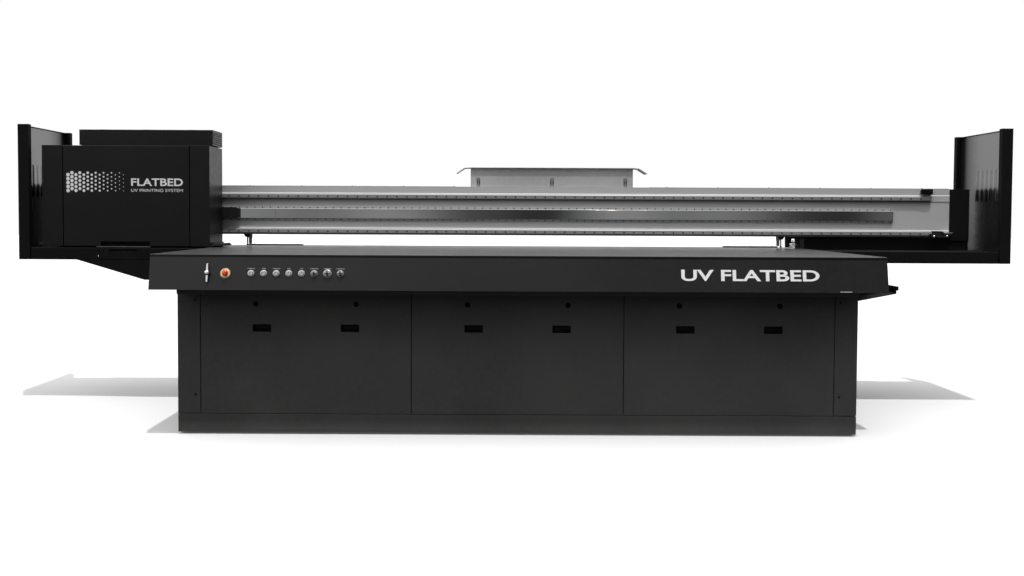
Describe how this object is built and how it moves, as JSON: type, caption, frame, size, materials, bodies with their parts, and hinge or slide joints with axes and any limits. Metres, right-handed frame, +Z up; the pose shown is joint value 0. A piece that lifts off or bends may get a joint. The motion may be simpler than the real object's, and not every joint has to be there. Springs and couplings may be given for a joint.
{
  "type": "flatbed uv printer",
  "caption": "Large flatbed UV printer: a vacuum table on a cabinet base, a gantry that travels over the table, and a print carriage with curing lamps that crosses on the gantry beam.",
  "frame": {"origin": "on the floor, under the middle of the machine's overall box", "axes": "+Z up, +X to the operator's right along the gantry beam, -Y towards the operator and the control fascia"},
  "size_m": [5.49, 1.8728, 1.54],
  "materials": {
    "black_powder_coat": "fine-textured black powder coat, satin",
    "charcoal_powder_coat": "charcoal powder coat, satin",
    "grey_frame_paint": "grey frame paint",
    "bed_aluminium": "anodised, finely perforated, matt",
    "beam_aluminium": "satin anodised",
    "rail_steel": "ground rail steel",
    "polished_steel": "bright stainless sheet, finely brushed",
    "black_gloss_sheet": "black high-gloss sheet",
    "grey_sheet_paint": "light grey sheet metal, satin",
    "cast_aluminium": "cast and machined aluminium",
    "satin_chrome": "satin chrome",
    "black_plastic": "black moulded plastic",
    "red_plastic": "glossy red",
    "yellow_plastic": "glossy yellow",
    "white_print": "white screen print",
    "foot_rubber": "black rubber"
  },
  "bodies": {
    "base": {"base_frame": "grey_frame_paint", "plinth_skirt": "black_powder_coat", "side_cover_left": "black_powder_coat", "side_cover_right": "black_powder_coat", "rear_cover": "black_powder_coat", "foot_front_left": "foot_rubber", "foot_front_right": "foot_rubber", "foot_rear_left": "foot_rubber", "foot_rear_right": "foot_rubber", "vacuum_blower": "cast_aluminium", "electrical_cabinet": "grey_sheet_paint", "table_frame": "black_powder_coat", "vacuum_table": "bed_aluminium", "control_fascia": "charcoal_powder_coat", "y_rail_left": "rail_steel", "y_rail_right": "rail_steel", "cable_trough": "black_powder_coat"},
    "gantry": {"gantry_beam": "beam_aluminium", "guide_rail_upper": "rail_steel", "guide_rail_lower": "rail_steel", "magnet_track": "polished_steel", "gantry_foot_left": "black_powder_coat", "gantry_foot_right": "black_powder_coat", "wing_tray_left": "black_powder_coat", "wing_tray_right": "black_powder_coat", "wing_frame_left": "black_powder_coat", "wing_frame_right": "black_powder_coat", "wing_panel_left": "black_gloss_sheet", "wing_panel_right": "black_gloss_sheet", "chain_housing": "grey_sheet_paint", "sensor_post_left": "black_plastic", "sensor_post_right": "black_plastic"},
    "slider": {"x_slider": "cast_aluminium", "linear_motor_coil": "black_plastic"},
    "carriage": {"carriage_chassis": "black_powder_coat", "uv_lamp_left": "black_powder_coat", "uv_lamp_right": "black_powder_coat", "top_unit": "black_powder_coat", "print_head_block": "cast_aluminium"},
    "door": {"carriage_door": "black_powder_coat"},
    "purge_drawer": {"purge_tray": "black_powder_coat"},
    "panel_left": {"access_panel_left": "black_powder_coat"},
    "panel_lock_left_a": {"lock_left_a": "black_plastic"},
    "panel_lock_left_b": {"lock_left_b": "black_plastic"},
    "panel_center": {"access_panel_center": "black_powder_coat"},
    "panel_lock_center_a": {"lock_center_a": "black_plastic"},
    "panel_lock_center_b": {"lock_center_b": "black_plastic"},
    "panel_right": {"access_panel_right": "black_powder_coat"},
    "panel_lock_right_a": {"lock_right_a": "black_plastic"},
    "panel_lock_right_b": {"lock_right_b": "black_plastic"},
    "estop": {"estop_button": "red_plastic"},
    "button_1": {"push_button_1": "satin_chrome"},
    "button_2": {"push_button_2": "satin_chrome"},
    "button_3": {"push_button_3": "satin_chrome"},
    "button_4": {"push_button_4": "satin_chrome"},
    "button_5": {"push_button_5": "satin_chrome"},
    "selector_knob_1": {"selector_1": "black_plastic"},
    "selector_knob_2": {"selector_2": "black_plastic"},
    "selector_knob_3": {"selector_3": "black_plastic"},
    "lever": {"valve_lever": "satin_chrome"}
  },
  "joints": [
    {"name": "gantry_travel", "type": "slide", "parent": "base", "child": "gantry", "axis": [0, -1, 0], "range_m": [0, 1.24]},
    {"name": "carriage_travel", "type": "slide", "parent": "gantry", "child": "slider", "axis": [1, 0, 0], "range_m": [0, 3.95]},
    {"name": "carriage_lift", "type": "slide", "parent": "slider", "child": "carriage", "axis": [0, 0, 1], "range_m": [0, 0.05]},
    {"name": "carriage_door_hinge", "type": "hinge", "parent": "carriage", "child": "door", "pos_m": [-2.1635, 0.256, 1.42], "axis": [-1, 0, 0], "range_deg": [0, 100]},
    {"name": "purge_tray_slide", "type": "slide", "parent": "gantry", "child": "purge_drawer", "axis": [0, -1, 0], "range_m": [0, 0.25]},
    {"name": "panel_left_tilt", "type": "hinge", "parent": "base", "child": "panel_left", "pos_m": [-1.006, -0.74, 0.1], "axis": [1, 0, 0], "range_deg": [0, 25]},
    {"name": "lock_left_a_turn", "type": "hinge", "parent": "panel_left", "child": "panel_lock_left_a", "pos_m": [-1.2445, -0.74, 0.622], "axis": [0, 1, 0], "range_deg": [0, 90]},
    {"name": "lock_left_b_turn", "type": "hinge", "parent": "panel_left", "child": "panel_lock_left_b", "pos_m": [-0.7675, -0.74, 0.622], "axis": [0, 1, 0], "range_deg": [0, 90]},
    {"name": "panel_center_tilt", "type": "hinge", "parent": "base", "child": "panel_center", "pos_m": [0, -0.74, 0.1], "axis": [1, 0, 0], "range_deg": [0, 25]},
    {"name": "lock_center_a_turn", "type": "hinge", "parent": "panel_center", "child": "panel_lock_center_a", "pos_m": [-0.2385, -0.74, 0.622], "axis": [0, 1, 0], "range_deg": [0, 90]},
    {"name": "lock_center_b_turn", "type": "hinge", "parent": "panel_center", "child": "panel_lock_center_b", "pos_m": [0.2385, -0.74, 0.622], "axis": [0, 1, 0], "range_deg": [0, 90]},
    {"name": "panel_right_tilt", "type": "hinge", "parent": "base", "child": "panel_right", "pos_m": [1.006, -0.74, 0.1], "axis": [1, 0, 0], "range_deg": [0, 25]},
    {"name": "lock_right_a_turn", "type": "hinge", "parent": "panel_right", "child": "panel_lock_right_a", "pos_m": [0.7675, -0.74, 0.622], "axis": [0, 1, 0], "range_deg": [0, 90]},
    {"name": "lock_right_b_turn", "type": "hinge", "parent": "panel_right", "child": "panel_lock_right_b", "pos_m": [1.2445, -0.74, 0.622], "axis": [0, 1, 0], "range_deg": [0, 90]},
    {"name": "estop_press", "type": "slide", "parent": "base", "child": "estop", "axis": [0, 0.9747, -0.2237], "range_m": [0, 0.005], "stiffness_N_per_m": 400},
    {"name": "button_1_press", "type": "slide", "parent": "base", "child": "button_1", "axis": [0, 0.9747, -0.2237], "range_m": [0, 0.003], "stiffness_N_per_m": 200},
    {"name": "button_2_press", "type": "slide", "parent": "base", "child": "button_2", "axis": [0, 0.9747, -0.2237], "range_m": [0, 0.003], "stiffness_N_per_m": 200},
    {"name": "button_3_press", "type": "slide", "parent": "base", "child": "button_3", "axis": [0, 0.9747, -0.2237], "range_m": [0, 0.003], "stiffness_N_per_m": 200},
    {"name": "button_4_press", "type": "slide", "parent": "base", "child": "button_4", "axis": [0, 0.9747, -0.2237], "range_m": [0, 0.003], "stiffness_N_per_m": 200},
    {"name": "button_5_press", "type": "slide", "parent": "base", "child": "button_5", "axis": [0, 0.9747, -0.2237], "range_m": [0, 0.003], "stiffness_N_per_m": 200},
    {"name": "selector_1_turn", "type": "hinge", "parent": "base", "child": "selector_knob_1", "pos_m": [-0.941, -0.9075, 0.77525], "axis": [0, -0.9747, 0.2237], "range_deg": [-45, 45]},
    {"name": "selector_2_turn", "type": "hinge", "parent": "base", "child": "selector_knob_2", "pos_m": [-0.88, -0.9075, 0.77525], "axis": [0, -0.9747, 0.2237], "range_deg": [-45, 45]},
    {"name": "selector_3_turn", "type": "hinge", "parent": "base", "child": "selector_knob_3", "pos_m": [-0.82, -0.9075, 0.77525], "axis": [0, -0.9747, 0.2237], "range_deg": [-45, 45]},
    {"name": "valve_lever_turn", "type": "hinge", "parent": "base", "child": "lever", "pos_m": [-1.431, -0.9075, 0.77525], "axis": [0, -0.9747, 0.2237], "range_deg": [0, 90]}
  ]
}
